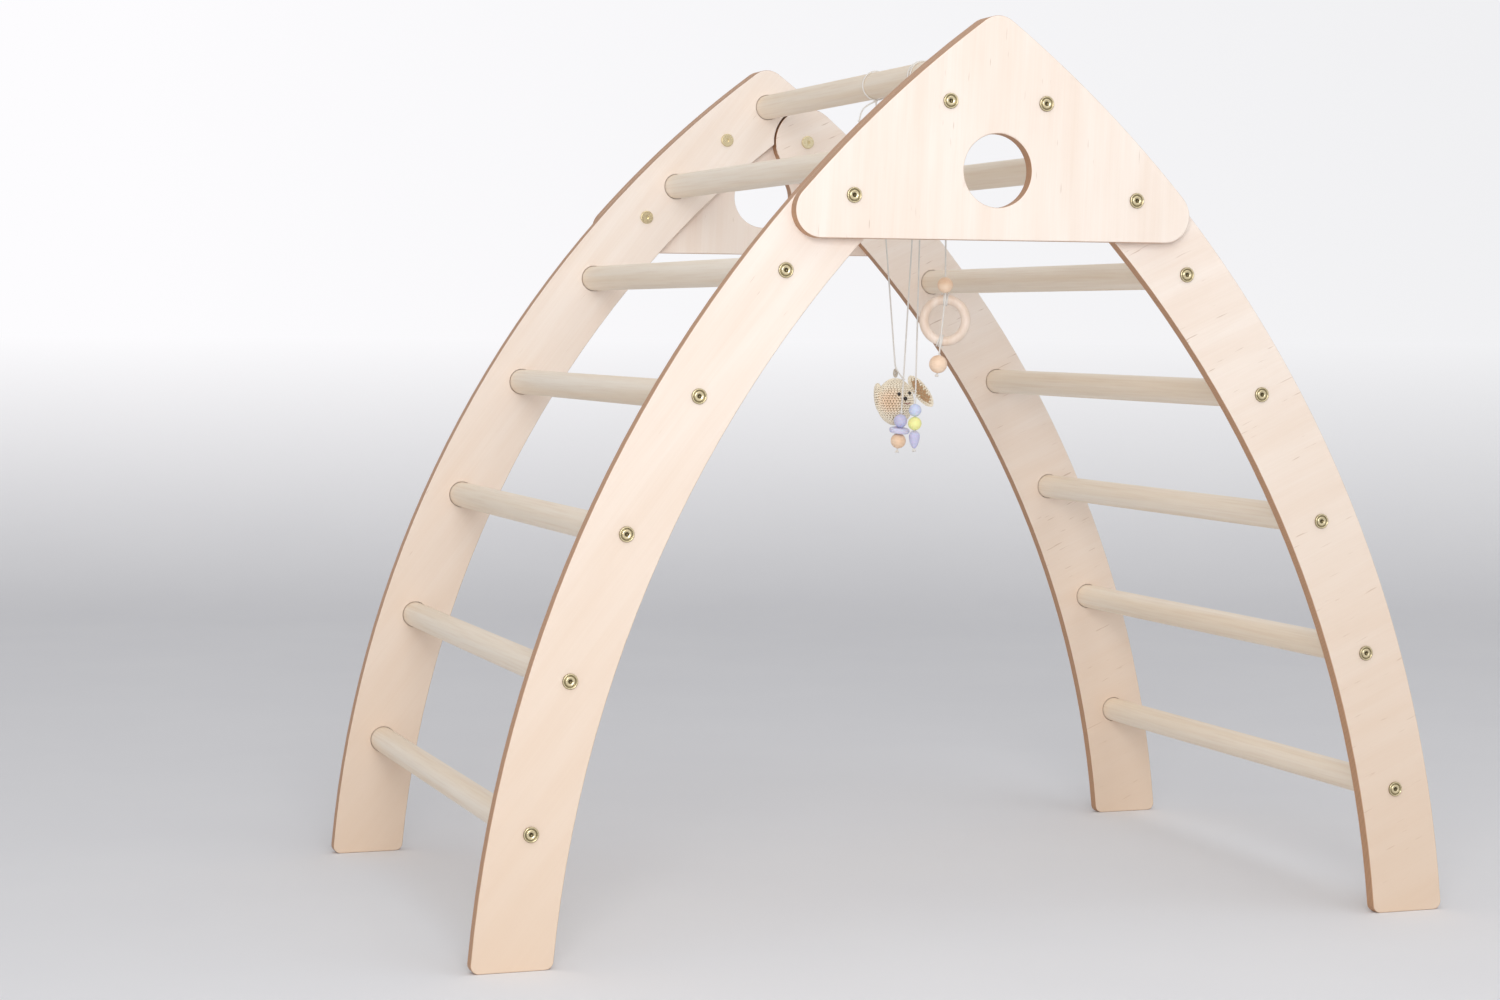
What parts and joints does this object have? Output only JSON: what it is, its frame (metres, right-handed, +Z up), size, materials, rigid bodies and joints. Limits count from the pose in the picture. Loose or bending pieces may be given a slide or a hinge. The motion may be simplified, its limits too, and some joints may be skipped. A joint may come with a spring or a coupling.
{
  "type": "climbing triangle",
  "caption": "Wooden climbing triangle for small children: arched plywood side panels with gussets at the apex, dowel rungs, and beaded toys hung from the top rung.",
  "frame": {"origin": "on the floor under the top rung, half way between the two side panels: the bottom centre of the bounding box", "axes": "+X across the spread of the legs to the right of someone who stands in front, -Y to the front where the toys hang nearer, +Z up"},
  "size_m": [1.1064, 0.7496, 0.9635],
  "materials": {
    "birch_ply": "smooth pale birch plywood, brown cut edges",
    "birch_dowel": "smooth pale dowel",
    "bolt_zinc": "yellow zinc-plated steel, satin",
    "insert_steel": "zinc-plated steel",
    "cotton_cord": "twisted cotton cord, off-white",
    "bead_wood": "raw beech, smooth",
    "ring_beech": "raw beech, smooth, pale",
    "silicone_lavender": "matt silicone",
    "silicone_blue": "matt silicone",
    "silicone_yellow": "matt silicone",
    "cream_yarn": "crocheted cotton yarn",
    "grey_yarn": "cotton yarn",
    "black_bead": "glossy black"
  },
  "bodies": {
    "frame": {"front_gusset": "birch_ply", "front_gusset_bolts": "bolt_zinc", "front_gusset_nuts": "bolt_zinc", "front_hidden_rung_screws": "bolt_zinc", "front_rung_inserts": "insert_steel", "left_front_leg": "birch_ply", "left_front_rung_bolts": "bolt_zinc", "left_rear_leg": "birch_ply", "left_rear_rung_bolts": "bolt_zinc", "left_rung_1": "birch_dowel", "left_rung_2": "birch_dowel", "left_rung_3": "birch_dowel", "left_rung_4": "birch_dowel", "left_rung_5": "birch_dowel", "left_rung_6": "birch_dowel", "rear_gusset": "birch_ply", "rear_gusset_bolts": "bolt_zinc", "rear_gusset_nuts": "bolt_zinc", "rear_hidden_rung_screws": "bolt_zinc", "rear_rung_inserts": "insert_steel", "right_front_leg": "birch_ply", "right_front_rung_bolts": "bolt_zinc", "right_rear_leg": "birch_ply", "right_rear_rung_bolts": "bolt_zinc", "right_rung_1": "birch_dowel", "right_rung_2": "birch_dowel", "right_rung_3": "birch_dowel", "right_rung_4": "birch_dowel", "right_rung_5": "birch_dowel", "right_rung_6": "birch_dowel", "top_rung": "birch_dowel"},
    "garland": {"garland_long_cord": "cotton_cord", "garland_short_cord": "cotton_cord", "rabbit_hanging_loop": "grey_yarn", "rabbit_head": "cream_yarn", "rabbit_left_ear": "cream_yarn", "rabbit_right_ear": "cream_yarn", "rabbit_eyes": "black_bead", "rabbit_nose": "black_bead", "lavender_bead": "silicone_lavender", "lavender_disc": "silicone_lavender", "garland_wood_bead": "bead_wood"},
    "bead_drop": {"drop_cord": "cotton_cord", "blue_bead": "silicone_blue", "yellow_bead": "silicone_yellow", "lavender_drop_bead": "silicone_lavender"},
    "ring_toy": {"ring_cord": "cotton_cord", "ring_upper_bead": "bead_wood", "teething_ring": "ring_beech", "ring_lower_bead": "bead_wood"}
  },
  "joints": [
    {"name": "garland_swing", "type": "hinge", "parent": "frame", "child": "garland", "pos_m": [0, 0, 0.917], "axis": [0, 1, 0], "range_deg": [-40, 40]},
    {"name": "bead_drop_swing", "type": "hinge", "parent": "frame", "child": "bead_drop", "pos_m": [0, 0, 0.917], "axis": [0, 1, 0], "range_deg": [-40, 40]},
    {"name": "ring_toy_swing", "type": "hinge", "parent": "frame", "child": "ring_toy", "pos_m": [0, 0, 0.917], "axis": [0, 1, 0], "range_deg": [-40, 40]}
  ]
}
